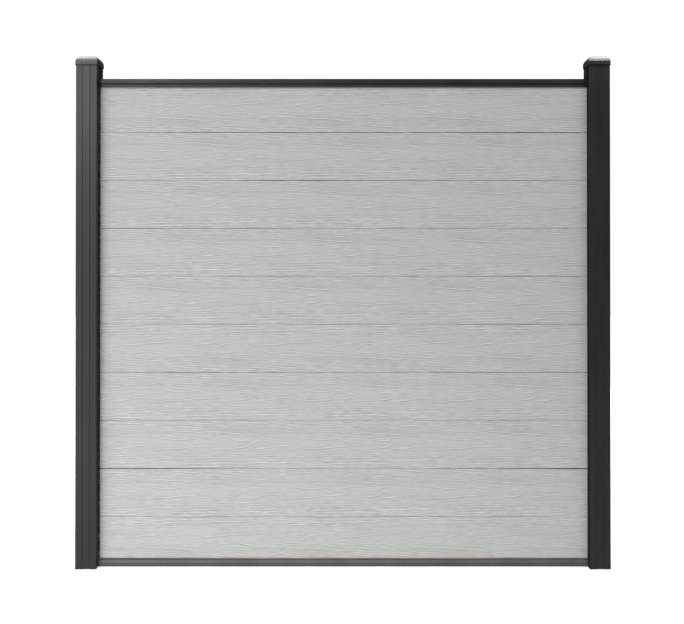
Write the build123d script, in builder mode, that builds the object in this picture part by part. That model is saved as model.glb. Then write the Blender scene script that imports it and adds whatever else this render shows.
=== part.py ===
from build123d import *
from math import sqrt
import os

# Composite fence panel: tongued boards stacked between two slotted posts, under and over a rail.
# Millimetres. X runs along the fence, the front faces -Y, Z is up. The origin is on the ground,
# midway between the posts.

# Bay
post_pitch = 1800.0
board_count = 10
board_cover = 169.5
post_rise = 56.4

# Boards
board_thickness = 19.0
board_end_gap = 4.0
board_edge_chamfer = 1.2
tongue_height = 9.0
tongue_thickness = 6.4
tongue_chamfer = 1.0
tongue_side_clearance = 0.3
tongue_tip_clearance = 0.8
chamber_count = 4
chamber_web = 4.5
board_skin = 4.5

# Rails
rail_height = 30.0
rail_wall = 2.4
rail_web = 2.4
rail_face_height = 13.5
rail_slope_run = 8.5
rail_groove_depth = 1.4
rail_lip_set_back = 0.3
rail_corner_radius = 1.2
rail_lip_radius = 0.7
rail_end_gap = 2.0
rail_lap = 10.0
rail_rib_height = 3.6
rail_rib_thickness = 2.0
rail_rib_offset = 5.5
board_in_rail_clearance = 0.3
rail_in_slot_clearance = 0.3
drain_length = 14.0
drain_width = 5.0
drain_pitch = 560.0
drain_count = 3

# Posts
post_size = 74.0
post_wall = 2.0
post_web = 2.0
post_corner_radius = 1.6
slot_mouth_radius = 0.9
slot_floor_margin = 1.5
core_radius = 3.0
catch_inset = 7.0
catch_length = 1.6
catch_depth = 0.6
port_bore_radius = 2.1
port_wall = 2.1
port_bite = 1.3
port_slit = 1.6

# Cover strips in the unused slots
strip_clearance = 0.25
strip_thickness = 2.0
strip_edge_radius = 0.9
strip_leg_thickness = 1.4
strip_leg_length = 8.0
strip_leg_inset = 0.6
strip_end_gap = 1.0
barb_clearance = 0.15

# Caps
cap_clearance = 0.2
cap_wall = 1.8
cap_skirt_height = 16.0
cap_overlap = 13.5
cap_knee_rise = 8.0
cap_knee_inset = 3.0
cap_bevel_height = 17.5
cap_bevel_inset = 12.0
cap_edge_radius = 1.5
cap_top_thickness = 2.4
cap_bevel_wall = 2.5
cap_rib_thickness = 2.0
spigot_clearance = 0.3
spigot_wall = 2.0
spigot_length = 22.0

# Seal strips between the boards and the slot walls
seal_base_thickness = 1.4
seal_inset = 0.8
seal_width = 7.2
seal_fin_count = 2
seal_fin_share = 0.7
seal_lip_root = 1.4
seal_lip_thickness = 1.1
seal_lip_tip = 0.6
left_seal_show = 4.9
right_seal_show = 1.0
seal_touch_clearance = 0.05
seal_end_gap = 0.5

# Screws that hold the rails in the posts
screw_shank_radius = 2.1
screw_head_radius = 4.2
screw_head_depth = 2.0
screw_head_sink = 0.1
screw_tip_length = 2.0
screw_hole_clearance = 0.25
screw_pilot_clearance = 0.1
top_screw_reach = 4.0
bottom_screw_reach = 0.1

# Sizes that follow from the ones above
board_half = board_thickness / 2
groove_width = tongue_thickness + 2 * tongue_side_clearance
groove_depth = tongue_height + tongue_tip_clearance
chamber_pitch = (board_cover - groove_depth - chamber_web) / chamber_count
chamber_length = chamber_pitch - chamber_web
chamber_width = board_thickness - 2 * board_skin

rail_inner_half = board_half + board_in_rail_clearance
rail_half = rail_inner_half + rail_wall
slot_half = rail_half + rail_in_slot_clearance

post_half = post_size / 2
slot_floor = slot_half + post_web + slot_floor_margin
slot_depth = post_half - slot_floor
hollow_start = slot_half + post_web
hollow_size = post_half - post_wall - hollow_start
hollow_offset = hollow_start + hollow_size / 2
core_size = 2 * (slot_floor - post_web)
port_radius = port_bore_radius + port_wall
port_offset = hollow_start + port_radius - port_bite

board_length = post_pitch - 2 * (slot_floor + board_end_gap)
rail_length = post_pitch - 2 * (slot_floor + rail_end_gap)

stack_base = rail_web + rail_rib_height
stack_top = stack_base + board_count * board_cover
top_rail_lip = stack_top - rail_lap
top_rail_top = top_rail_lip + rail_height
post_top = top_rail_top + post_rise

cap_size = post_size + 2 * (cap_clearance + cap_wall)
cap_base = post_top - cap_overlap
cap_skirt_top = cap_base + cap_skirt_height
cap_knee = cap_skirt_top + cap_knee_rise
cap_knee_size = cap_size - 2 * cap_knee_inset
cap_top = cap_skirt_top + cap_bevel_height
cap_top_size = cap_size - 2 * cap_bevel_inset
cap_roof = cap_top - cap_top_thickness
spigot_size = core_size - 2 * spigot_clearance

seal_gap = slot_half - board_half
seal_bottom = rail_height + seal_end_gap
seal_top = top_rail_lip - seal_end_gap

screw_offset = post_pitch / 2 - (post_half + slot_floor + rail_end_gap) / 2
top_rib_foot = top_rail_top - rail_web - rail_rib_height
top_screw_height = (stack_top + tongue_height + top_rib_foot) / 2
bottom_screw_height = rail_height / 2


def post_section(centre):
    """One four-way extrusion: a slot in each side, a hollow in each corner, a core in the middle."""
    with BuildSketch(Plane(origin=(centre, 0, 0))) as section:
        RectangleRounded(post_size, post_size, post_corner_radius)
        with PolarLocations(slot_floor + slot_depth / 2, 4):
            Rectangle(slot_depth, 2 * slot_half, mode=Mode.SUBTRACT)
        fillet(section.vertices().filter_by(is_slot_mouth), slot_mouth_radius)
        with PolarLocations(post_half - catch_inset, 4):
            with Locations((0, slot_half), (0, -slot_half)):
                Rectangle(catch_length, 2 * catch_depth, mode=Mode.SUBTRACT)
        with GridLocations(2 * hollow_offset, 2 * hollow_offset, 2, 2):
            Rectangle(hollow_size, hollow_size, mode=Mode.SUBTRACT)
        with PolarLocations(port_offset * sqrt(2), 4, start_angle=45):
            Circle(port_radius)
            Circle(port_bore_radius, mode=Mode.SUBTRACT)
            with Locations((port_radius / 2, 0)):
                Rectangle(port_radius, port_slit, mode=Mode.SUBTRACT)
        RectangleRounded(core_size, core_size, core_radius, mode=Mode.SUBTRACT)
    return section.sketch


def is_slot_mouth(vertex):
    far, near = max(abs(vertex.X), abs(vertex.Y)), min(abs(vertex.X), abs(vertex.Y))
    return abs(far - post_half) < 0.01 and abs(near - slot_half) < 0.01


def make_post(side):
    """A post, drilled and countersunk at the back for the rail screws."""
    with BuildPart() as post:
        add(post_section(side * post_pitch / 2))
        extrude(amount=post_top)
        for height in (bottom_screw_height, top_screw_height):
            with Locations(Plane(origin=(side * screw_offset, post_half, height), z_dir=(0, 1, 0))):
                CounterSinkHole(
                    radius=screw_shank_radius + screw_hole_clearance,
                    counter_sink_radius=screw_head_radius + screw_hole_clearance,
                    depth=post_half,
                    counter_sink_angle=90,
                )
    return post.part


def make_cap(side):
    """A skirted cap, bevelled twice up to a flat top, resting on the post and keyed into its core."""
    centre = side * post_pitch / 2
    ledge_size = post_size - 2 * post_wall
    roof_share = (cap_roof - cap_knee) / (cap_top - cap_knee)
    roof_size = cap_knee_size + roof_share * (cap_top_size - cap_knee_size) - 2 * cap_bevel_wall
    inner_size = post_size + 2 * cap_clearance
    spigot_bore = spigot_size - 2 * spigot_wall
    outside = ((cap_skirt_top, cap_size), (cap_knee, cap_knee_size), (cap_top, cap_top_size))
    hollow = ((post_top, ledge_size), (cap_knee, cap_knee_size - 2 * cap_bevel_wall), (cap_roof, roof_size))
    with BuildPart() as cap:
        with BuildSketch(Plane(origin=(centre, 0, cap_base))):
            Rectangle(cap_size, cap_size)
        extrude(amount=cap_skirt_height)
        for bevel in zip(outside, outside[1:]):
            for height, width in bevel:
                with BuildSketch(Plane(origin=(centre, 0, height))):
                    Rectangle(width, width)
            loft()
        level_edges = cap.edges().filter_by(is_level)
        fillet(cap.edges() - level_edges + level_edges.group_by(Axis.Z)[-1], cap_edge_radius)
        with BuildSketch(Plane(origin=(centre, 0, cap_base))):
            Rectangle(inner_size, inner_size)
        extrude(amount=cap_overlap, mode=Mode.SUBTRACT)
        for bevel in zip(hollow, hollow[1:]):
            for height, width in bevel:
                with BuildSketch(Plane(origin=(centre, 0, height))):
                    Rectangle(width, width)
            loft(mode=Mode.SUBTRACT)
        with BuildSketch(Plane(origin=(centre, 0, post_top))):
            Rectangle(ledge_size, cap_rib_thickness)
            Rectangle(cap_rib_thickness, ledge_size)
        extrude(until=Until.NEXT)
        with BuildSketch(Plane(origin=(centre, 0, post_top - spigot_length))):
            RectangleRounded(spigot_size, spigot_size, core_radius - spigot_clearance)
            Rectangle(spigot_bore, spigot_bore, mode=Mode.SUBTRACT)
        extrude(amount=spigot_length + cap_roof - post_top)
    return cap.part


def is_level(edge):
    return edge.bounding_box().size.Z < 0.01


def make_strip(side, angle):
    """A snap-in cover strip, flush with the face of the post that looks along the angle."""
    leg_outer = slot_half - strip_clearance - strip_leg_inset
    leg_inner = leg_outer - strip_leg_thickness
    face_inner = post_half - strip_thickness
    barb_reach = slot_half + catch_depth - barb_clearance
    barb_start = post_half - catch_inset + catch_length / 2 - barb_clearance
    barb_end = post_half - catch_inset - catch_length / 2 + barb_clearance
    plane = Plane(origin=(side * post_pitch / 2, 0, strip_end_gap)).rotated((0, 0, angle))
    with BuildPart() as strip:
        with BuildSketch(plane) as section:
            with BuildLine():
                Polyline(
                    (post_half, 0),
                    (post_half, slot_half - strip_clearance),
                    (face_inner, slot_half - strip_clearance),
                    (face_inner, leg_outer),
                    (barb_start, leg_outer),
                    (barb_start, barb_reach),
                    (barb_end, barb_reach - catch_depth),
                    (face_inner - strip_leg_length, leg_outer),
                    (face_inner - strip_leg_length, leg_inner),
                    (face_inner, leg_inner),
                    (face_inner, 0),
                )
                mirror(about=Plane.XZ)
            make_face()
            outer_corners = section.vertices().group_by(Axis.X)[-1].sort_by(Axis.Y)
            fillet([outer_corners[0], outer_corners[-1]], strip_edge_radius)
        extrude(amount=post_top - 2 * strip_end_gap)
    return strip.part


def make_rail(base_height, up):
    """A channel that grips the edge of the stack, ribbed inside, with a shallow valley along both sides."""
    valley_height = rail_face_height + rail_slope_run
    start = Plane(origin=(-rail_length / 2, 0, base_height), x_dir=(0, up, 0), z_dir=(1, 0, 0))
    with BuildPart() as rail:
        with BuildSketch(start) as section:
            with BuildLine():
                Polyline(
                    (0, 0),
                    (rail_half, 0),
                    (rail_half, rail_face_height),
                    (rail_half - rail_groove_depth, valley_height),
                    (rail_half - rail_lip_set_back, rail_height),
                    (rail_inner_half, rail_height),
                    (rail_inner_half, rail_web),
                    (0, rail_web),
                )
                mirror(about=Plane.YZ)
            make_face()
            fillet(section.vertices().group_by(Axis.Y)[0].filter_by(is_rail_corner), rail_corner_radius)
            fillet(section.vertices().group_by(Axis.Y)[-1], rail_lip_radius)
            with Locations((-rail_rib_offset, rail_web), (rail_rib_offset, rail_web)):
                Rectangle(rail_rib_thickness, rail_rib_height, align=(Align.CENTER, Align.MIN))
        extrude(amount=rail_length)
        for side in (-1, 1):
            mouth = Plane(
                origin=(side * screw_offset, rail_half, screw_height_in(up)),
                z_dir=(0, 1, 0),
            )
            with Locations(mouth):
                Hole(radius=screw_shank_radius + screw_pilot_clearance, depth=rail_half)
    return rail.part


def is_rail_corner(vertex):
    return abs(abs(vertex.X) - rail_half) < 0.01


def screw_height_in(up):
    return bottom_screw_height if up > 0 else top_screw_height


def make_board(row):
    """A hollow board with a tongue along its top edge and a groove along its bottom edge."""
    foot = stack_base + row * board_cover
    start = Plane(origin=(-board_length / 2, 0, foot), x_dir=(0, 1, 0), z_dir=(1, 0, 0))
    first_chamber = groove_depth + chamber_web + chamber_length / 2
    with BuildPart() as board:
        with BuildSketch(start) as section:
            with Locations((0, board_cover / 2)):
                Rectangle(board_thickness, board_cover)
            chamfer(section.vertices(), board_edge_chamfer)
            with Locations((0, board_cover + tongue_height / 2)):
                Rectangle(tongue_thickness, tongue_height)
            chamfer(section.vertices().group_by(Axis.Y)[-1], tongue_chamfer)
            with Locations((0, groove_depth / 2)):
                Rectangle(groove_width, groove_depth, mode=Mode.SUBTRACT)
            with Locations([(0, first_chamber + n * chamber_pitch) for n in range(chamber_count)]):
                SlotOverall(chamber_length, chamber_width, rotation=90, mode=Mode.SUBTRACT)
        extrude(amount=board_length)
    return board.part


def make_seal(side, face):
    """A finned rubber strip in the gap beside the boards, with a lip that lies on them outside the slot."""
    mouth = post_pitch / 2 - post_half
    fin_pitch = (seal_width - seal_lip_root) / seal_fin_count
    fin_half = fin_pitch * seal_fin_share / 2
    touch = seal_gap - seal_touch_clearance
    lip_reach = seal_inset + (left_seal_show if side < 0 else right_seal_show)
    section_plane = Plane(
        origin=(side * (mouth + seal_inset), face * slot_half, seal_bottom),
        x_dir=(-side, 0, 0),
        z_dir=(0, 0, side * face),
    )
    with BuildPart() as seal:
        with BuildSketch(section_plane):
            Rectangle(seal_width, seal_base_thickness, align=(Align.MAX, Align.MIN))
            for n in range(seal_fin_count):
                with Locations((-seal_lip_root - (n + 0.5) * fin_pitch, seal_base_thickness)):
                    Polygon((-fin_half, 0), (fin_half, 0), (0, touch - seal_base_thickness), align=None)
            Polygon(
                (-seal_lip_root, 0),
                (0, 0),
                (0, touch - seal_lip_thickness),
                (lip_reach, touch - seal_lip_tip),
                (lip_reach, touch),
                (-seal_lip_root, touch),
                align=None,
            )
        extrude(amount=seal_top - seal_bottom, dir=(0, 0, 1))
    return seal.part


def make_screws(height, reach):
    """A pair of countersunk screws driven from the back, one at each end of a rail."""
    length = post_half - rail_inner_half + reach
    with BuildPart() as screws:
        for side in (-1, 1):
            head = (side * screw_offset, post_half - screw_head_sink, height)
            with BuildSketch(Plane(origin=head)):
                with BuildLine():
                    Polyline(
                        (0, 0),
                        (screw_head_radius, 0),
                        (screw_shank_radius, -screw_head_depth),
                        (screw_shank_radius, screw_tip_length - length),
                        (0, -length),
                        close=True,
                    )
                make_face()
            revolve(axis=Axis(head, (0, 1, 0)))
    return screws.part


def drill_drains(rail):
    """Slots through the web of the bottom rail, so that rain runs out from under the boards."""
    with BuildPart() as drained:
        add(rail)
        with BuildSketch(Plane.XY):
            with GridLocations(drain_pitch, 1, drain_count, 1):
                SlotOverall(drain_length, drain_width)
        extrude(amount=rail_web, mode=Mode.SUBTRACT)
    return drained.part


def write(part, name):
    part.label = name
    export_step(part, "parts/" + name + ".step")


os.makedirs("parts", exist_ok=True)

for side, hand in ((-1, "left"), (1, "right")):
    write(make_post(side), hand + "_post")
    write(make_cap(side), hand + "_post_cap")
    outward = 180 if side < 0 else 0
    for angle, place in ((-90, "front"), (90, "rear"), (outward, "outer")):
        write(make_strip(side, angle), hand + "_post_" + place + "_strip")
    for face, place in ((-1, "front"), (1, "rear")):
        write(make_seal(side, face), hand + "_" + place + "_seal")

write(drill_drains(make_rail(0, 1)), "bottom_rail")
write(make_rail(top_rail_top, -1), "top_rail")
write(make_screws(bottom_screw_height, bottom_screw_reach), "bottom_rail_screws")
write(make_screws(top_screw_height, top_screw_reach), "top_rail_screws")

for row in range(board_count):
    write(make_board(row), "board_%02d" % (row + 1))
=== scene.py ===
import math

import bpy
import numpy as np
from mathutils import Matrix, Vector
from mathutils.geometry import tessellate_polygon


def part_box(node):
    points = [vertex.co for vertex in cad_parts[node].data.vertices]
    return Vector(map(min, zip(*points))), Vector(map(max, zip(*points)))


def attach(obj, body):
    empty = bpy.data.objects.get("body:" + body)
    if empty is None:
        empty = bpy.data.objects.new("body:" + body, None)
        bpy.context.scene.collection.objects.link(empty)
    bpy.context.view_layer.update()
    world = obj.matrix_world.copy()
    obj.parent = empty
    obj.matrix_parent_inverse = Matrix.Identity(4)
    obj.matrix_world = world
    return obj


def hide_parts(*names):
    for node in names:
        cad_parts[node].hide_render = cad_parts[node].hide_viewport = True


# Composite fence panel: grained boards between two powder-coated posts. Metres, in the frame's own axes.

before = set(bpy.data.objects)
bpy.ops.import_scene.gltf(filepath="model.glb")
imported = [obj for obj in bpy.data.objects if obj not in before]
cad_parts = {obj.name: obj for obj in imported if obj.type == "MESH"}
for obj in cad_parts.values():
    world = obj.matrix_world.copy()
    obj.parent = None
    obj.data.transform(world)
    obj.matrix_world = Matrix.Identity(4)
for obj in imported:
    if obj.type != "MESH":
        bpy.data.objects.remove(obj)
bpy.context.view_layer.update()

# Boards, with the sizes that they have in the CAD
BOARD_COUNT = 10
COVER_MM = 169.5
BOARD_COVER = COVER_MM / 1000
BOARD_FOOT = 0.006
BOARD_LENGTH = 1.760
BOARD_HALF = 0.0095
CHAMFER = 0.0012
LIP_LAP = 0.010
TONGUE_HEIGHT = 0.009
TONGUE_HALF = 0.0032
TONGUE_CHAMFER = 0.001
GROOVE_HALF = 0.0035
GROOVE_DEPTH = 0.0098
CHAMBER_COUNT = 4
CHAMBER_WEB = 0.0045
CHAMBER_HALF = 0.005
CHAMBER_STEPS = 7
FRONT_COLUMNS = 321
FRONT_ROWS = 105
REAR_COLUMNS = 121
REAR_ROWS = 45
BOARD_SHARP = math.radians(32)

# Grain, a pattern that repeats along a board: places are in periods along it and in board covers up it
GRAIN_PERIOD = 0.500
GRAIN_START = -0.865
REAR_SHIFT = 0.31
SPINE = 0.515
SPINE_BEND = 0.03
MARK_STEP = 0.004
MARK_TAPER = 0.02
RELIEF_DEPTH = 0.00024
RELIEF_LIMIT = 1.5

# Section of a grain line in millimetres: where its ridge and the cuts beside it start and end their fading
RIDGE = (0.3, 1.8)
CUT = (0.4, 2.3)
CUT_SHADE = (0.4, 2.2)
CUT_AWAY = 3.0

# Emboss of each board, from the lowest up: turned half round or not, shift in periods, shift in height
EMBOSS = [
    (True, 0.385, 0.06),
    (False, 0.064, -0.04),
    (False, 0.141, -0.02),
    (False, 0.155, -0.02),
    (True, 0.767, 0.04),
    (False, -0.350, 0.0),
    (False, -0.216, 0.0),
    (False, -0.102, 0.0),
    (False, 0.0, 0.0),
    (True, 0.42, 0.025),
]

# How open the joint above each board stands, in millimetres, at seven places along it
JOINT_PLACES = (-0.77, -0.48, -0.20, 0.09, 0.37, 0.65, 0.80)
JOINTS = [
    (0.28, 0.24, 0.25, 0.34, 0.52, 0.24, 0.28),
    (2.50, 0.80, 0.36, 0.34, 0.62, 1.35, 2.90),
    (0.55, 0.35, 0.12, 0.20, 0.34, 0.33, 0.42),
    (0.62, 0.90, 0.70, 0.45, 0.90, 0.80, 0.85),
    (0.42, 0.62, 0.52, 0.52, 0.65, 0.92, 0.62),
    (0.42, 0.10, 0.62, 0.40, 0.36, 1.05, 0.60),
    (0.80, 0.75, 0.55, 0.42, 0.66, 0.65, 0.42),
    (0.33, 0.33, 1.27, 1.20, 0.60, 1.07, 0.33),
    (0.27, 1.00, 1.23, 1.17, 1.33, 1.93, 1.23),
    (0, 0, 0, 0, 0, 0, 0),
]

# The emboss's drawn lines: strength, then places along the period and up the board
MARKS = [
    (0.9, [(0.06, 0.694), (0.25, 0.695), (0.28, 0.680), (0.33, 0.643), (0.385, 0.617), (0.44, 0.610),
           (0.51, 0.634), (0.56, 0.634), (0.585, 0.602), (0.63, 0.565), (0.668, 0.545)]),
    (1.0, [(0.20, 0.402), (0.29, 0.408), (0.33, 0.425), (0.41, 0.427), (0.49, 0.453), (0.51, 0.468),
           (0.60, 0.468), (0.625, 0.484), (0.665, 0.490), (0.685, 0.510), (0.72, 0.514)]),
    (0.8, [(-0.02, 0.446), (0.07, 0.453), (0.12, 0.487), (0.19, 0.490), (0.215, 0.512)]),
    (0.7, [(-0.03, 0.612), (0.04, 0.595), (0.09, 0.566), (0.155, 0.546), (0.20, 0.566)]),
    (1.2, [(0.825, 0.443), (0.875, 0.449), (0.913, 0.481), (0.938, 0.538), (0.953, 0.553), (0.985, 0.575)]),
    (0.8, [(0.65, 0.420), (0.69, 0.427), (0.79, 0.419)]),
    (0.9, [(0.93, 0.424), (1.03, 0.428)]),
    (1.0, [(0.83, 0.588), (0.92, 0.596)]),
    (0.9, [(0.81, 0.618), (0.84, 0.633), (0.94, 0.637)]),
    (0.9, [(0.69, 0.671), (0.75, 0.675), (0.765, 0.653), (0.81, 0.655)]),
    (1.1, [(0.70, 0.757), (0.79, 0.760), (0.80, 0.736), (0.89, 0.738), (0.91, 0.717), (0.99, 0.720)]),
    (0.8, [(0.60, 0.782), (0.71, 0.775)]),
    (1.0, [(0.70, 0.195), (0.91, 0.195)]),
]

# Posts, rails and caps: painted light in the slot, the brown rim lines and the painted shadow lines
SLOT_HALF = (0.0120, 0.0140)
SLOT_START = (0.8635, 0.8650)
BAY_SIDE = (0.870, 0.875)
RIM_HALF = (0.0006, 0.0022)
RIM_MIDDLE = 0.05
RIM_REACH = (0.40, 0.75)
DROOP_RUN = (-0.1, 0.7)
CAP_SKIRT_FOOT = 1.7657
TOP_RAIL_LIP = 1.6925
TOP_RAIL_VALLEY = 1.7034
LOW_RAIL_LIP = 0.0295

# Screws: a slightly dished head with a cross recess, a cone, a thread and a point
SCREW_SIDES = 48
HEAD_RINGS = 16
THREAD_RINGS = 90
TIP_RINGS = 8
HEAD_EDGE = 0.985
DISH_DEPTH = 0.00008
RECESS_DEPTH = 0.0013
RECESS_HALF = 0.00075
RECESS_SLOPE = 0.00018
RECESS_REACH = 0.0024
RECESS_END = 0.0004
RIM_DEPTHS = (0.00015, 0.00035)
CONE_DEPTH = 0.0021
THREAD_START = 0.0024
THREAD_PITCH = 0.0016
THREAD_DEPTH = 0.20
THREAD_WIDTH = 0.32
TIP_LENGTH = 0.002
SCREW_SHARP = math.radians(38)

# Floor and camera
FLOOR_HALF = 9
FLOOR_HEIGHT = -0.001
CAMERA_PLACE = (0.0565, -3.004, 1.1725)
CAMERA_TILT = 90.34


def smooth_noise(a, b, cells_a, cells_b, seed):
    """Value noise in -1..1 over a and b, periodic: a repeats after cells_a, b after cells_b."""
    lattice = np.random.default_rng(seed).uniform(-1, 1, (cells_a, cells_b))
    ia, ib = np.floor(a).astype(int), np.floor(b).astype(int)
    fa, fb = a - ia, b - ib
    fa, fb = fa * fa * (3 - 2 * fa), fb * fb * (3 - 2 * fb)
    ia0, ib0 = ia % cells_a, ib % cells_b
    ia1, ib1 = (ia + 1) % cells_a, (ib + 1) % cells_b
    low = lattice[ia0, ib0] * (1 - fa) + lattice[ia1, ib0] * fa
    high = lattice[ia0, ib1] * (1 - fa) + lattice[ia1, ib1] * fa
    return low * (1 - fb) + high * fb


def ramp(value, start, end):
    """A smooth step from 0 at start to 1 at end."""
    t = np.clip((value - start) / (end - start), 0, 1)
    return t * t * (3 - 2 * t)


def drawn_marks(along, up):
    """The nearest drawn line: how far above it a place lies, in millimetres, and how strong it is there."""
    nearest = np.full(along.shape, 99.0)
    off_out, strength_out = np.zeros(along.shape), np.zeros(along.shape)
    wave = 0.004 * smooth_noise(along * 29, up * 2, 29, 5, 41)
    within = along - np.floor(along)
    for strength, points in MARKS:
        places, heights = zip(*points)
        first, last = places[0], places[-1]
        for turn in (-1, 0, 1):
            here = within + turn
            after, before = (np.interp(here + step, places, heights) for step in (MARK_STEP, -MARK_STEP))
            slope = (after - before) / (2 * MARK_STEP) * (BOARD_COVER / GRAIN_PERIOD)
            off = (up - wave - np.interp(here, places, heights)) * COVER_MM / np.hypot(1, slope)
            fade_in = ramp(here, first - MARK_STEP, first + MARK_TAPER)
            fade_out = ramp(here, last - MARK_TAPER, last + MARK_STEP)
            taper = fade_in * (1 - fade_out)
            closer = (np.abs(off) < nearest) & (taper > 0)
            nearest = np.where(closer, np.abs(off), nearest)
            off_out = np.where(closer, off, off_out)
            strength_out = np.where(closer, strength * taper * (1 - ramp(np.abs(off), 5, 8)), strength_out)
    return off_out, strength_out


def grain_level(along, up):
    """The level field of the fine grain. Its whole numbers are the lines, about nine millimetres apart."""
    drift = smooth_noise(along * 3, up * 4, 3, 7, 11)
    wave = smooth_noise(along * 8, up * 9, 8, 11, 12)
    away = up - SPINE
    bend = np.sqrt(away ** 2 + SPINE_BEND ** 2) - SPINE_BEND
    rise = np.where(away > 0, 3 * along + 19.5 * bend, along + 20.0 * bend)
    return rise + 0.40 * drift + 0.20 * wave


def smudge(along, up, centre, height, reach, depth):
    """A soft spot that leans down a little to the right, once in each period."""
    off = (along - centre + 0.5) % 1.0 - 0.5
    return np.exp(-((off / reach) ** 2) - ((up - height + 0.10 * off) / depth) ** 2)


def grain_fields(along, up):
    """Level, lines a millimetre, line strength, soft tone and liveliness at each place of a face."""
    level = grain_level(along, up)
    step = 1e-3
    density = np.abs(grain_level(along, up + step) - grain_level(along, up - step)) / (2 * step * COVER_MM)
    away = np.abs(up - SPINE)
    coarse = smooth_noise(along * 8 + 0.3, level, 8, 31, 31)
    fine = smooth_noise(along * 21, level, 21, 31, 32)
    strength = np.clip(0.45 + 1.0 * coarse + 0.5 * fine, 0.0, 1.3) * ramp(away, 0.05, 0.16)
    calm = smooth_noise(along * 3, up * 5, 3, 7, 37)
    lively = 0.82 + 0.45 * ramp(SPINE - up, 0.12, 0.34) + 0.50 * ramp(up - SPINE, 0.30, 0.42)
    strength = strength * (0.80 + 0.35 * calm) * lively
    bent = up * COVER_MM + 1.8 * smooth_noise(along * 6, up * 5, 6, 9, 33)
    wide_streak = smooth_noise(along * 8, bent / 3.9, 8, 83, 34)
    streak = wide_streak + 0.7 * smooth_noise(along * 14 + 0.3, bent / 2.9, 14, 97, 35)
    streak = streak * (0.35 + 0.65 * ramp(away, 0.06, 0.18)) * lively
    band = smooth_noise(along * 3, bent / 14.0, 3, 29, 36)
    dark = smudge(along, up, 0.83, 0.81, 0.16, 0.055) + 0.5 * smudge(along, up, 0.25, 0.77, 0.08, 0.035)
    tone = 0.5 * streak + 0.50 * band - 1.5 * dark
    return level, density, strength, tone, lively


def line_height(off):
    """A ridge, a cut under it and a shallower one over it, by the millimetres above its middle."""
    ridge = 1 - ramp(np.abs(off), *RIDGE)
    low = 1 - ramp(np.abs(off + CUT_AWAY), *CUT)
    high = 1 - ramp(np.abs(off - CUT_AWAY), *CUT)
    return ridge - 0.65 * low - 0.25 * high


def new_mesh(name, vertices, faces, sharp):
    """A smooth-shaded piece whose edges stay sharp where they turn by more than an angle."""
    mesh = bpy.data.meshes.new(name)
    mesh.from_pydata([tuple(v) for v in vertices], [], faces)
    mesh.validate(verbose=False)
    mesh.update()
    mesh.polygons.foreach_set("use_smooth", [True] * len(mesh.polygons))
    mesh.set_sharp_from_angle(angle=sharp)
    piece = bpy.data.objects.new(name, mesh)
    bpy.context.scene.collection.objects.link(piece)
    return piece


def joint_gap(row, x):
    """How open the joint above a board stands at each place along it."""
    open_here = np.interp(x, JOINT_PLACES, JOINTS[row])
    long_wave = smooth_noise(x * 9.3 + 0.4 * row, 0 * x, 37, 1, 50 + row)
    short_wave = smooth_noise(x * 17, 0 * x, 61, 1, 70 + row)
    return 0.001 * open_here * (1 + (0.25 * long_wave + 0.25 * short_wave))


def chamfer_beside(gap):
    """The chamfer beside a joint, larger where the joint stands open."""
    return CHAMFER * (0.45 + 0.30 * ramp(gap, 0.0002, 0.0014))


def emboss_place(row, side, x, z):
    """Where on the grain pattern each place of a board's face lies: along its period and up its cover."""
    turned, shift, lift = EMBOSS[row]
    along = (x - GRAIN_START) / GRAIN_PERIOD - shift + 0 * z
    up = z / BOARD_COVER - lift
    if turned:
        along, up = -along, 1 - up
    if side > 0:
        along = REAR_SHIFT * (row + 1) - along
    return along, up


def emboss_depth(relief, share):
    """How far the embossed face lies behind the board's own, less so beside its joints. Never above 0."""
    depth = RELIEF_DEPTH * (np.clip(relief, -RELIEF_LIMIT, RELIEF_LIMIT) / RELIEF_LIMIT - 1)
    inside = ramp(share, 0.0, 0.03) * (1 - ramp(share, 0.97, 1.0))
    return depth * (0.35 + 0.65 * inside)


def joint_and_painted_lip_shade(row, height):
    """How dark a face's vertices are: in its joints, and painted shade on the top board under the rail's lip.
    """
    shade = np.zeros_like(height)
    shade[:, :1] = shade[:, -1:] = 1.0
    # Painted shade on the top board under the top rail's lip
    if row == BOARD_COUNT - 1:
        under_lip = BOARD_COVER - LIP_LAP - height
        shade += 0.50 * (1 - ramp(under_lip, 0.001, 0.004)) + 0.20 * (1 - ramp(under_lip, 0.002, 0.014))
    return np.minimum(shade, 1.0)


def for_chamfers(field):
    """A face's field with its lowest and highest rows repeated, for the chamfers beside them."""
    return np.concatenate([field[:, :1], field, field[:, -1:]], axis=1)


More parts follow.
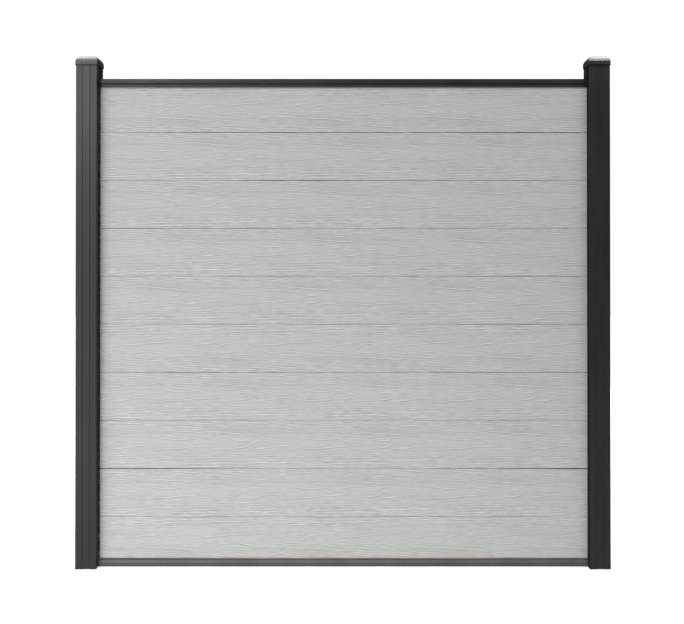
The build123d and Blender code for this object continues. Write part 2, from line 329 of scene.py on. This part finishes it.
def face_band(row, side, columns, rows):
    """One face of a board with its chamfers: a grid of vertices, and three vectors each for the shader."""
    x = np.linspace(-BOARD_LENGTH / 2, BOARD_LENGTH / 2, columns)[:, None]
    share = np.linspace(0, 1, rows)[None, :]
    gap = joint_gap(row, x)
    low = chamfer_beside(joint_gap(row - 1, x) if row else 0 * x)
    high = chamfer_beside(gap)
    z = low + (BOARD_COVER - high - gap - low) * share
    along, up = emboss_place(row, side, x, z)
    level, density, strength, tone, lively = grain_fields(along, up)
    mark_off, mark_strength = drawn_marks(along, up)
    density = density * np.sign(up - SPINE)
    if EMBOSS[row][0]:
        density, mark_off = -density, -mark_off
    strength = strength * (1 - 0.6 * np.minimum(mark_strength, 1))
    line_off = (level - np.round(level)) / np.where(np.abs(density) < 1e-4, 1e-4, density)
    relief = 0.8 * line_height(line_off) * strength + line_height(mark_off) * mark_strength + 0.35 * tone
    face = BOARD_HALF + emboss_depth(relief, share)
    y = side * np.concatenate([BOARD_HALF - low, face, BOARD_HALF - high], axis=1)
    height = np.concatenate([0 * x, z, BOARD_COVER - gap], axis=1)
    foot = BOARD_FOOT + row * BOARD_COVER
    vertices = np.stack([np.repeat(x, rows + 2, axis=1), y, height + foot], axis=2).reshape(-1, 3)
    grain = [for_chamfers(field) for field in (level, density, strength)]
    place = [for_chamfers(along), for_chamfers(tone), joint_and_painted_lip_shade(row, height)]
    mark = [for_chamfers(field) for field in (mark_off, mark_strength, lively)]
    return [vertices] + [np.stack(fields, axis=2).reshape(-1, 3) for fields in (grain, place, mark)]


def groove_outline():
    """The groove in a board's foot, over its roof from front to rear, as (y, z) points."""
    return [(-GROOVE_HALF, 0), (-GROOVE_HALF, GROOVE_DEPTH), (GROOVE_HALF, GROOVE_DEPTH), (GROOVE_HALF, 0)]


def tongue_outline():
    """The tongue on a board's head, over its chamfered tip from rear to front, as (y, z) points."""
    tip = BOARD_COVER + TONGUE_HEIGHT
    rear = [
        (TONGUE_HALF, BOARD_COVER),
        (TONGUE_HALF, tip - TONGUE_CHAMFER),
        (TONGUE_HALF - TONGUE_CHAMFER, tip),
    ]
    return rear + [(-y, z) for y, z in reversed(rear)]


def chamber_outlines():
    """The round-ended chambers in a board, from the lowest up, as (y, z) points."""
    pitch = (BOARD_COVER - GROOVE_DEPTH - CHAMBER_WEB) / CHAMBER_COUNT
    half_length = (pitch - CHAMBER_WEB) / 2
    outlines = []
    for n in range(CHAMBER_COUNT):
        middle = GROOVE_DEPTH + CHAMBER_WEB + half_length + n * pitch
        outline = []
        for end in (1, -1):
            for k in range(CHAMBER_STEPS + 1):
                turn = math.pi * k / CHAMBER_STEPS
                rise = half_length - CHAMBER_HALF + CHAMBER_HALF * math.sin(turn)
                outline.append((end * CHAMBER_HALF * math.cos(turn), middle + end * rise))
        outlines.append(outline)
    return outlines


def grid_faces(grid):
    """Quads between the vertices of a grid, from their numbers."""
    corners = (grid[:-1, :-1], grid[1:, :-1], grid[1:, 1:], grid[:-1, 1:])
    return np.stack(corners, axis=-1).reshape(-1, 4)


def wall_faces(run):
    """Quads along a board between the points of an outline, each point a pair of vertices."""
    return [[a, b, d, c] for (a, b), (c, d) in zip(run, run[1:])]


def shoulder_faces(long_edge, short_edge, upward):
    """A fan of triangles between a face's edge and the tongue or groove beside it."""
    half = len(long_edge) // 2
    pairs = enumerate(zip(long_edge, long_edge[1:]))
    triangles = [[a, b, short_edge[0] if n < half else short_edge[1]] for n, (a, b) in pairs]
    triangles.append([short_edge[0], long_edge[half], short_edge[1]])
    return triangles if upward else [triangle[::-1] for triangle in triangles]


def sawn_end_faces(vertices, loops, outward):
    """Triangles that close a board's end, from its outline and chambers, facing along x by outward's sign."""
    flat = [[Vector((vertices[i][1], vertices[i][2], 0)) for i in loop] for loop in loops]
    index = [i for loop in loops for i in loop]
    triangles = []
    for triangle in tessellate_polygon(flat):
        a, b, c = (index[corner] for corner in triangle)
        pa, pb, pc = (vertices[i] for i in (a, b, c))
        turn = (pb[1] - pa[1]) * (pc[2] - pa[2]) - (pb[2] - pa[2]) * (pc[1] - pa[1])
        triangles.append([a, b, c] if turn * outward > 0 else [a, c, b])
    return triangles


def store_fields(mesh, face_fields):
    """Give each vertex the shader's three vectors. Those that lie on neither face get plain values."""
    plain = ([0.5, 0.2, 0.0], [0.0, 0.0, 1.0], [9.0, 0.0, 0.0])
    for name, elsewhere, on_faces in zip(("grain", "place", "mark"), plain, zip(*face_fields)):
        rest = len(mesh.vertices) - sum(map(len, on_faces))
        values = np.concatenate([*on_faces, np.tile(elsewhere, (rest, 1))])
        layer = mesh.attributes.new(name, "FLOAT_VECTOR", "POINT")
        layer.data.foreach_set("vector", values.astype(np.float32).ravel())


def make_board(row):
    """A hollow tongued board: embossed faces, tongue, groove, chambers and sawn ends, as one closed mesh."""
    foot = BOARD_FOOT + row * BOARD_COVER
    front, *front_fields = face_band(row, -1, FRONT_COLUMNS, FRONT_ROWS)
    rear, *rear_fields = face_band(row, 1, REAR_COLUMNS, REAR_ROWS)
    vertices = list(map(tuple, front)) + list(map(tuple, rear))
    front_grid = np.arange(len(front)).reshape(FRONT_COLUMNS, -1)
    rear_grid = np.arange(len(front), len(vertices)).reshape(REAR_COLUMNS, -1)

    def add_run(outline):
        """A pair of vertices for each point of an outline, one at each end of the board."""
        first = len(vertices)
        for y, z in outline:
            vertices.extend((x, y, foot + z) for x in (-BOARD_LENGTH / 2, BOARD_LENGTH / 2))
        return [[first + 2 * n, first + 2 * n + 1] for n in range(len(outline))]

    groove, tongue = add_run(groove_outline()), add_run(tongue_outline())
    chambers = [add_run(outline) for outline in chamber_outlines()]
    faces = grid_faces(front_grid).tolist() + grid_faces(rear_grid)[:, ::-1].tolist()
    faces += wall_faces(groove) + wall_faces(tongue)
    faces += shoulder_faces(front_grid[:, -1].tolist(), tongue[-1], True)
    faces += shoulder_faces(rear_grid[:, -1].tolist(), tongue[0], False)
    faces += shoulder_faces(front_grid[:, 0].tolist(), groove[0], False)
    faces += shoulder_faces(rear_grid[:, 0].tolist(), groove[-1], True)
    for chamber in chambers:
        faces += wall_faces(chamber + chamber[:1])
    for end, outward in ((0, -1), (-1, 1)):
        outline = [pair[end] for pair in groove] + rear_grid[end].tolist()
        outline += [pair[end] for pair in tongue] + front_grid[end, ::-1].tolist()
        holes = [[pair[end] for pair in chamber] for chamber in chambers]
        faces += sawn_end_faces(vertices, [outline] + holes, outward)

    piece = new_mesh("grained_board_%02d" % (row + 1), vertices, faces, BOARD_SHARP)
    store_fields(piece.data, (front_fields, rear_fields))
    return piece


class Nodes:
    """Shorthand for building a node tree."""

    def __init__(self, tree):
        self.tree = tree
        tree.nodes.clear()

    def add(self, kind, **settings):
        node = self.tree.nodes.new(kind)
        for name, value in settings.items():
            setattr(node, name, value)
        return node

    def set(self, node, values):
        """Link each input to the socket that is given for it, or set it to the value."""
        for key, value in values.items():
            socket = node.inputs[key]
            if isinstance(value, bpy.types.NodeSocket):
                self.tree.links.new(value, socket)
            else:
                socket.default_value = value

    def math(self, operation, *values):
        node = self.add("ShaderNodeMath", operation=operation)
        self.set(node, dict(enumerate(values)))
        return node.outputs[0]

    def plus(self, a, b):
        return self.math("ADD", a, b)

    def minus(self, a, b):
        return self.math("SUBTRACT", a, b)

    def times(self, a, b):
        return self.math("MULTIPLY", a, b)

    def size(self, value):
        return self.math("ABSOLUTE", value)

    def total(self, *parts):
        """The sum of values, each times its weight."""
        result, *others = [self.times(value, weight) for value, weight in parts]
        for other in others:
            result = self.plus(result, other)
        return result

    def remap(self, value, low, high, to_low, to_high, kind="LINEAR"):
        """One range stretched onto another and held past its ends."""
        node = self.add("ShaderNodeMapRange", interpolation_type=kind)
        ranges = {"From Min": low, "From Max": high, "To Min": to_low, "To Max": to_high}
        self.set(node, {"Value": value, **ranges})
        return node.outputs["Result"]

    def fade(self, value, low, high, to_low, to_high):
        """The same with a smooth step."""
        return self.remap(value, low, high, to_low, to_high, "SMOOTHSTEP")

    def noise(self, vector, scale, detail=2.0, roughness=0.5):
        node = self.add("ShaderNodeTexNoise")
        self.set(node, {"Vector": vector, "Scale": scale, "Detail": detail, "Roughness": roughness})
        return node.outputs["Fac"]

    def stretch(self, vector, scale):
        node = self.add("ShaderNodeMapping")
        self.set(node, {"Vector": vector, "Scale": scale})
        return node.outputs["Vector"]

    def shift(self, vector, offset):
        node = self.add("ShaderNodeVectorMath", operation="ADD")
        self.set(node, {0: vector, 1: offset})
        return node.outputs[0]

    def split(self, vector):
        node = self.add("ShaderNodeSeparateXYZ")
        self.set(node, {0: vector})
        return tuple(node.outputs)

    def attribute(self, name):
        return self.split(self.add("ShaderNodeAttribute", attribute_name=name).outputs["Vector"])

    def normal(self):
        return self.split(self.add("ShaderNodeNewGeometry").outputs["Normal"])

    def mix(self, share, a, b):
        """Colour a where the share is 0 and colour b where it is 1."""
        node = self.add("ShaderNodeMix", data_type="RGBA")
        self.set(node, {0: share, 6: a, 7: b})
        return node.outputs[2]

    def grey(self, value, tint=(1.0, 1.0, 1.0)):
        node = self.add("ShaderNodeCombineColor")
        self.set(node, {n: self.times(value, tint[n]) for n in range(3)})
        return node.outputs[0]

    def bump(self, height, strength, distance):
        node = self.add("ShaderNodeBump")
        self.set(node, {"Height": height, "Strength": strength, "Distance": distance})
        return node.outputs["Normal"]


def new_material(name):
    """A material with its nodes, its shader and the object coordinates."""
    material = bpy.data.materials.new(name)
    material.use_nodes = True
    n = Nodes(material.node_tree)
    output = n.add("ShaderNodeOutputMaterial")
    shader = n.add("ShaderNodeBsdfPrincipled")
    n.set(output, {"Surface": shader.outputs[0]})
    place = n.add("ShaderNodeTexCoord").outputs["Object"]
    return material, n, shader, place


def drawn_line(n, off):
    """The shade across a grain line: pale on it, dark under it, a little dark over it."""
    pale = n.fade(n.size(off), *RIDGE, 1.0, 0.0)
    low = n.fade(n.size(n.plus(off, CUT_AWAY)), *CUT_SHADE, 0.68, 0.0)
    high = n.fade(n.size(n.minus(off, CUT_AWAY)), *CUT_SHADE, 0.28, 0.0)
    return n.minus(n.minus(pale, low), high)


def board_material():
    """Embossed wood-plastic composite: grain lines, drawn marks, fine streaks, smudges, darker joints,
    and painted shade under the top rail's lip.
    """
    material, n, shader, place = new_material("board_composite")
    level, density, strength = n.attribute("grain")
    along, tone, joint_and_lip_shade = n.attribute("place")
    mark_off, mark_strength, lively = n.attribute("mark")

    wobble = n.minus(n.noise(n.stretch(place, (45, 25, 110)), 1.0, 3.0), 0.5)
    bent = n.plus(level, n.times(wobble, 0.24))
    off = n.math("DIVIDE", n.minus(bent, n.math("ROUND", bent)), density)
    lines = n.times(drawn_line(n, off), strength)
    marks = n.times(drawn_line(n, n.plus(mark_off, n.times(wobble, 1.6))), mark_strength)

    flow = n.add("ShaderNodeCombineXYZ")
    n.set(flow, {0: n.times(along, 9.0), 1: n.times(level, 2.0), 2: 0.0})
    streaks = n.noise(flow.outputs[0], 1.0, 3.0, 0.6)
    hair = n.times(n.minus(n.noise(n.stretch(place, (30, 4, 290)), 1.0), 0.5), lively)
    speck = n.noise(place, 700.0, 2.0, 0.6)
    patch = n.noise(n.stretch(place, (3.0, 3.0, 14.0)), 1.0, 3.0, 0.55)

    tint = n.total(
        (lines, 0.29),
        (marks, 0.27),
        (tone, 0.06),
        (n.minus(streaks, 0.5), 0.05),
        (hair, 0.52),
        (n.minus(speck, 0.5), 0.10),
        (n.minus(patch, 0.5), 0.06),
    )
    # Darker in the joints, and painted shade under the top rail's lip on the top board
    value = n.times(n.times(n.plus(1.0, tint), 0.45), n.minus(1.0, n.times(joint_and_lip_shade, 0.78)))
    height = n.total((lines, 0.5), (marks, 0.7), (hair, 0.6), (speck, 0.35), (streaks, 0.4))
    n.set(shader, {
        "Base Color": n.grey(value, (1.0, 1.0, 0.997)),
        "Roughness": n.remap(streaks, 0.3, 0.7, 0.66, 0.80),
        "Specular IOR Level": 0.35,
        "Normal": n.bump(height, 0.7, 0.0004),
    })
    return material


def dust_and_top_light(n, cloud, upright, sloping):
    """What dust and painted light from above add to a coat, more on sloping faces than on upright ones."""
    settled = n.fade(n.normal()[2], 0.02, 0.15, upright, sloping)
    return n.times(settled, n.remap(cloud, 0.3, 0.7, 0.8, 1.2))


def slot_light(n, x, y):
    """How much painted light brightens a post's coat inside the slot that holds the boards."""
    mouth = n.fade(n.size(y), *SLOT_HALF, 1.0, 0.0)
    depth = n.fade(n.size(x), *SLOT_START, 0.0, 1.0)
    return n.plus(1.0, n.times(n.times(mouth, depth), 1.6))


def gloss_shaded_side(n, x):
    """Where gloss is dimmed as painted shade: what faces left beside the bay, so the right post's inner side.
    """
    facing = n.fade(n.normal()[0], -0.9, -0.5, 1.0, 0.0)
    return n.times(facing, n.fade(n.size(x), *BAY_SIDE, 1.0, 0.0))


def brown_rim_line(n, here, x, z, height):
    """Where a rail's lip has a brown line: thin and broken at a height, strongest in the middle of the span.
    """
    edge = n.fade(n.size(n.minus(z, height)), *RIM_HALF, 1.0, 0.0)
    middle = n.fade(n.size(n.minus(x, RIM_MIDDLE)), *RIM_REACH, 1.0, 0.15)
    run = n.noise(n.stretch(here, (6.0, 0.0, 0.0)), 1.0)
    return n.times(edge, n.times(middle, n.fade(run, 0.35, 0.55, 0.6, 1.0)))


def shadow_line(n, x, z, height, reach, shade, droop=None):
    """How much of a coat a painted shadow line leaves: the shade at a height, and 1 past the reach. A line
    that droops reaches further down towards the right."""
    below = n.minus(height, z)
    if droop:
        below = n.math("MINIMUM", below, n.times(below, n.fade(x, *DROOP_RUN, 1.0, droop)))
    return n.fade(n.size(below), 0.3 * reach, reach, shade, 1.0)


def coated_metal(name, base, rough, specular, seed, dust_and_light=None, rim=None, shadow=None, slotted=False):
    """Charcoal powder coat: orange peel, faint chalking, pale scuffs. Where asked: dust and painted light, a
    brown rim line, a painted shadow line, painted light in a post's slot and gloss dimmed as painted shade."""
    material, n, shader, place = new_material(name)
    x, y, z = n.split(place)
    here = n.shift(place, (seed * 1.7, seed * 0.9, seed * 2.3))
    peel = n.noise(here, 1500.0, 2.0, 0.6)
    cloud = n.noise(n.stretch(here, (9, 9, 2.5)), 1.0, 4.0, 0.6)
    scuff = n.fade(n.noise(n.stretch(here, (60, 60, 9)), 1.0, 5.0, 0.7), 0.66, 0.80, 0.0, 1.0)
    value = n.times(n.remap(cloud, 0.3, 0.7, 0.86, 1.16), base)
    value = n.times(value, n.remap(peel, 0.3, 0.7, 0.90, 1.10))
    value = n.plus(value, n.times(scuff, base * 0.45))
    roughness = n.remap(cloud, 0.3, 0.7, rough - 0.05, rough + 0.05)
    gloss = specular
    if dust_and_light:
        # Dust and painted light from above, more on sloping faces
        value = n.plus(value, dust_and_top_light(n, cloud, *dust_and_light))
    if slotted:
        # Painted light inside the post's slot
        value = n.times(value, slot_light(n, x, y))
        # Gloss dimmed as painted shade on the right post's inner side
        gloss_shade = gloss_shaded_side(n, x)
        roughness = n.plus(roughness, n.times(gloss_shade, 0.3))
        gloss = n.remap(gloss_shade, 0.0, 1.0, specular, 0.12 * specular)
    colour = n.grey(value, (1.0, 1.0, 1.01))
    if rim:
        rim_height, rim_colour = rim
        colour = n.mix(brown_rim_line(n, here, x, z, rim_height), colour, rim_colour)
    # Painted shadow line, near black: at the cap skirt's foot, and in the top rail's valley and lip
    if shadow:
        unshaded = shadow_line(n, x, z, *shadow)
        colour = n.mix(unshaded, (0.001, 0.001, 0.001, 1.0), colour)
        gloss = n.times(unshaded, specular)
    n.set(shader, {
        "Base Color": colour,
        "Roughness": roughness,
        "Specular IOR Level": gloss,
        "Normal": n.bump(peel, 0.30, 0.00006),
    })
    return material


def rubber_material(name, base, tint, specks, top_share=1.0):
    """Dull rubber with bloom, darker towards the top to a share of itself, with dust caught along its lip."""
    material, n, shader, place = new_material(name)
    height = n.split(place)[2]
    fine = n.noise(place, 900.0, 3.0, 0.6)
    bloom = n.noise(n.stretch(place, (60, 60, 6)), 1.0, 4.0, 0.6)
    caught = n.fade(n.noise(n.stretch(place, (90, 90, 230)), 1.0, 2.0, 0.6), 0.50, 0.66, 0.0, specks)
    value = n.times(n.remap(bloom, 0.3, 0.7, 0.75, 1.35), n.fade(height, 0.5, 1.5, base, top_share * base))
    value = n.times(value, n.remap(fine, 0.3, 0.7, 0.8, 1.2))
    n.set(shader, {
        "Base Color": n.grey(n.plus(value, caught), tint),
        "Roughness": n.remap(bloom, 0.3, 0.7, 0.62, 0.78),
        "Specular IOR Level": 0.2,
        "Normal": n.bump(fine, 0.3, 0.0001),
    })
    return material


def steel_material():
    """Bright turned steel with a few stains."""
    material, n, shader, place = new_material("screw_steel")
    turned = n.noise(n.stretch(place, (400, 2500, 400)), 1.0, 3.0, 0.6)
    stain = n.noise(place, 160.0, 4.0, 0.6)
    value = n.times(n.remap(stain, 0.3, 0.7, 0.80, 1.08), 0.52)
    value = n.times(value, n.remap(turned, 0.3, 0.7, 0.92, 1.06))
    n.set(shader, {
        "Base Color": n.grey(value, (1.0, 0.99, 0.97)),
        "Roughness": n.remap(stain, 0.3, 0.7, 0.24, 0.42),
        "Metallic": 1.0,
        "Normal": n.bump(turned, 0.25, 0.00004),
    })
    return material


def floor_material():
    """A pale studio floor that glows a little, so that it stays white."""
    material, n, shader, place = new_material("pale_floor")
    soft = n.noise(place, 1.3, 3.0)
    n.set(shader, {
        "Base Color": n.grey(n.remap(soft, 0.3, 0.7, 0.88, 0.90)),
        "Roughness": 0.9,
        "Specular IOR Level": 0.1,
        "Emission Color": (1.0, 1.0, 1.0, 1.0),
        "Emission Strength": 0.35,
    })
    return material


def screw_rings(head_radius, shank, length):
    """Radius, depth and part of each ring of a screw's skin, from beside the head's middle to the tip."""
    rings = [(head_radius * HEAD_EDGE * k / HEAD_RINGS, 0.0, "top") for k in range(1, HEAD_RINGS + 1)]
    rings += [(head_radius, depth, "rim") for depth in RIM_DEPTHS]
    rings.append((shank * 1.04, CONE_DEPTH, "rim"))
    thread_length = length - THREAD_START - TIP_LENGTH
    for k in range(THREAD_RINGS):
        rings.append((shank, THREAD_START + thread_length * k / (THREAD_RINGS - 1), "thread"))
    for k in range(1, TIP_RINGS + 1):
        rings.append((shank * (1 - k / 8.3), length - TIP_LENGTH + TIP_LENGTH * k / TIP_RINGS, "tip"))
    return rings


def thread_radius(radius, depth, share):
    """The shank's radius at a depth and a share of the way round, on or beside the thread's crest."""
    phase = (depth / THREAD_PITCH - share) % 1.0
    crest = max(0.0, 1 - abs(phase - 0.5) / THREAD_WIDTH)
    return radius * (1 - THREAD_DEPTH + THREAD_DEPTH * crest)


def head_depth(radius, turn, head_radius):
    """How deep a place on the head's top lies: a shallow dish with a cross recess."""
    px, pz = abs(radius * math.cos(turn)), abs(radius * math.sin(turn))
    arm = max(0.0, min(1.0, (RECESS_HALF - min(px, pz)) / RECESS_SLOPE))
    reach = max(0.0, min(1.0, (RECESS_REACH - max(px, pz)) / RECESS_END))
    return RECESS_DEPTH * arm * reach + DISH_DEPTH * (1 - (radius / head_radius) ** 2)


def add_screw(vertices, faces, x, face_y, z, head_radius, length):
    """Add one screw to a mesh's vertices and faces, with its head's face at face_y and its tip in front."""
    rings = screw_rings(head_radius, head_radius / 2, length)
    centre = len(vertices)
    vertices.append((x, face_y - head_depth(0.0, 0.0, head_radius), z))
    for radius, depth, part in rings:
        for a in range(SCREW_SIDES):
            turn = 2 * math.pi * a / SCREW_SIDES
            r = thread_radius(radius, depth, a / SCREW_SIDES) if part == "thread" else radius
            d = head_depth(radius, turn, head_radius) if part == "top" else depth
            vertices.append((x + r * math.cos(turn), face_y - d, z + r * math.sin(turn)))
    first = centre + 1
    after = [(a + 1) % SCREW_SIDES for a in range(SCREW_SIDES)]
    faces.extend([centre, first + a, first + b] for a, b in enumerate(after))
    for k in range(len(rings) - 1):
        p, q = first + k * SCREW_SIDES, first + (k + 1) * SCREW_SIDES
        faces.extend([p + a, q + a, q + b, p + b] for a, b in enumerate(after))
    last = first + (len(rings) - 1) * SCREW_SIDES
    faces.append([last + a for a in range(SCREW_SIDES)])


def make_screws(name, node):
    """A pair of countersunk screws with cross recesses and threaded shanks, inside the CAD screws' box."""
    low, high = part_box(node)
    middle = (low.z + high.z) / 2
    head_radius = (high.z - low.z) / 2
    vertices, faces = [], []
    for x in (low.x + head_radius, high.x - head_radius):
        add_screw(vertices, faces, x, high.y, middle, head_radius, high.y - low.y)
    return new_mesh(name, vertices, faces, SCREW_SHARP)


def make_floor():
    """A wide floor just under the panel, which the panel neither reflects nor takes light from."""
    mesh = bpy.data.meshes.new("floor")
    far, z = FLOOR_HALF, FLOOR_HEIGHT
    mesh.from_pydata([(-far, -far, z), (far, -far, z), (far, far, z), (-far, far, z)], [], [(0, 1, 2, 3)])
    mesh.materials.append(floor_material())
    floor = bpy.data.objects.new("floor", mesh)
    floor.visible_diffuse = False
    floor.visible_glossy = False
    bpy.context.scene.collection.objects.link(floor)
    return floor


def soft_box(name, place, target, width, height, watts, diffuse=True, glossy=True):
    """An area light that the camera doesn't see, and that may leave out matt light or gloss."""
    light = bpy.data.lights.new(name, "AREA")
    light.shape = "RECTANGLE"
    light.size, light.size_y = width, height
    light.energy = watts
    lamp = bpy.data.objects.new(name, light)
    lamp.location = place
    lamp.rotation_euler = (Vector(target) - Vector(place)).to_track_quat("-Z", "Y").to_euler()
    lamp.visible_camera = False
    lamp.visible_diffuse = diffuse
    lamp.visible_glossy = glossy
    bpy.context.scene.collection.objects.link(lamp)


def make_world():
    """A dim studio, less so in front, bright overhead and below, and white where the camera sees it."""
    world = bpy.data.worlds.new("studio")
    bpy.context.scene.world = world
    world.use_nodes = True
    n = Nodes(world.node_tree)
    sky = n.add("ShaderNodeBackground")
    n.set(n.add("ShaderNodeOutputWorld"), {"Surface": sky.outputs[0]})
    aim = n.split(n.add("ShaderNodeTexCoord").outputs["Generated"])
    around = n.fade(aim[1], -0.5, 0.6, 0.25, 0.12)
    overhead = n.fade(aim[2], 0.72, 0.93, 0.0, 3.6)
    ground = n.fade(aim[2], 0.0, -0.35, 0.0, 0.72)
    light = n.plus(n.plus(around, overhead), ground)
    seen = n.add("ShaderNodeLightPath").outputs["Is Camera Ray"]
    n.set(sky, {"Color": n.grey(n.math("MAXIMUM", light, n.times(seen, 1.1))), "Strength": 1.0})


def make_camera():
    """The photo's camera, as near as its perspective tells."""
    data = bpy.data.cameras.new("camera")
    data.sensor_width = 36
    data.lens = 44.574
    data.shift_x = -0.025
    data.shift_y = -0.1216
    camera = bpy.data.objects.new("camera", data)
    camera.location = CAMERA_PLACE
    camera.rotation_euler = (math.radians(CAMERA_TILT), 0, 0)
    bpy.context.scene.collection.objects.link(camera)
    bpy.context.scene.camera = camera


# Boards and screws, in place of their CAD pieces
board = board_material()
for row in range(BOARD_COUNT):
    piece = make_board(row)
    piece.data.materials.append(board)
    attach(piece, "root")
    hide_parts("board_%02d" % (row + 1))

steel = steel_material()
for node in ("bottom_rail_screws", "top_rail_screws"):
    piece = make_screws("threaded_" + node, node)
    piece.data.materials.append(steel)
    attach(piece, "root")
    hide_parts(node)

# Materials of the CAD pieces that stay, given by how their names start and end
top_rim = (TOP_RAIL_LIP, (0.045, 0.033, 0.027, 1.0))
low_rim = (LOW_RAIL_LIP, (0.36, 0.23, 0.16, 1.0))
# The bottom rail's dust and painted light from above
low_dust_and_light = (0.045, 0.085)
# Painted shadow lines at the cap skirt's foot and along the top rail's valley, drooping to the right
cap_shadow = (CAP_SKIRT_FOOT, 0.0028, 0.30)
rail_shadow = (TOP_RAIL_VALLEY, 0.0054, 0.60, 0.32)
post_metal = coated_metal("post_metal", 0.0095, 0.40, 0.34, 1, slotted=True)
cap_metal = coated_metal("cap_metal", 0.0115, 0.40, 0.40, 2, shadow=cap_shadow)
strip_metal = coated_metal("strip_metal", 0.0095, 0.40, 0.34, 3)
top_rail_metal = coated_metal("top_rail_metal", 0.0125, 0.42, 0.30, 4, rim=top_rim, shadow=rail_shadow)
low_rail_metal = coated_metal("low_rail_metal", 0.0125, 0.44, 0.40, 5, dust_and_light=low_dust_and_light, rim=low_rim)
left_rubber = rubber_material("left_seal_rubber", 0.007, (1.0, 1.0, 1.0), 0.10)
right_rubber = rubber_material("right_seal_rubber", 0.062, (1.0, 0.76, 0.60), 0.04, 0.3)
kept_pieces = [
    ("", "_post", post_metal),
    ("", "_cap", cap_metal),
    ("", "_strip", strip_metal),
    ("top", "_rail", top_rail_metal),
    ("bottom", "_rail", low_rail_metal),
    ("left", "_seal", left_rubber),
    ("right", "_seal", right_rubber),
]
for name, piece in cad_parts.items():
    for start, end, material in kept_pieces:
        if name.startswith(start) and name.endswith(end):
            for slot in piece.material_slots:
                slot.material = material

# Floor, light and camera
floor = make_floor()
soft_box("key", (-2.9, -2.9, 0.75), (0, 0, 0.65), 2.8, 1.9, 88, glossy=False)
soft_box("bounce", (-0.25, -1.0, 0.05), (-0.20, 0, 0.02), 2.4, 0.12, 3.8, glossy=False)
soft_box("sheen", (-2.0, -3.4, 2.5), (-0.9, 0, 1.6), 1.6, 1.5, 64, diffuse=False)
soft_box("low_sheen", (-1.8, -3.4, -0.05), (-0.8, 0, 0.3), 1.9, 2.1, 28, diffuse=False)
soft_box("left_top", (-1.54, -0.37, 3.8), (-0.9, 0, 1.79), 1.0, 0.8, 96, diffuse=False)
soft_box("right_top", (1.47, -0.37, 3.8), (0.9, 0, 1.79), 1.0, 0.8, 118, diffuse=False)
soft_box("left_bevel", (-1.77, -1.72, 4.0), (-0.9, 0, 1.79), 0.8, 0.8, 9, diffuse=False)
soft_box("right_bevel", (1.66, -1.73, 4.0), (0.9, 0, 1.79), 0.8, 0.8, 42, diffuse=False)
soft_box("rear_fill", (2.4, 3.2, 1.5), (0, 0, 0.9), 2.4, 1.8, 75, glossy=False)
make_world()
make_camera()
bpy.context.scene.view_settings.view_transform = "Standard"
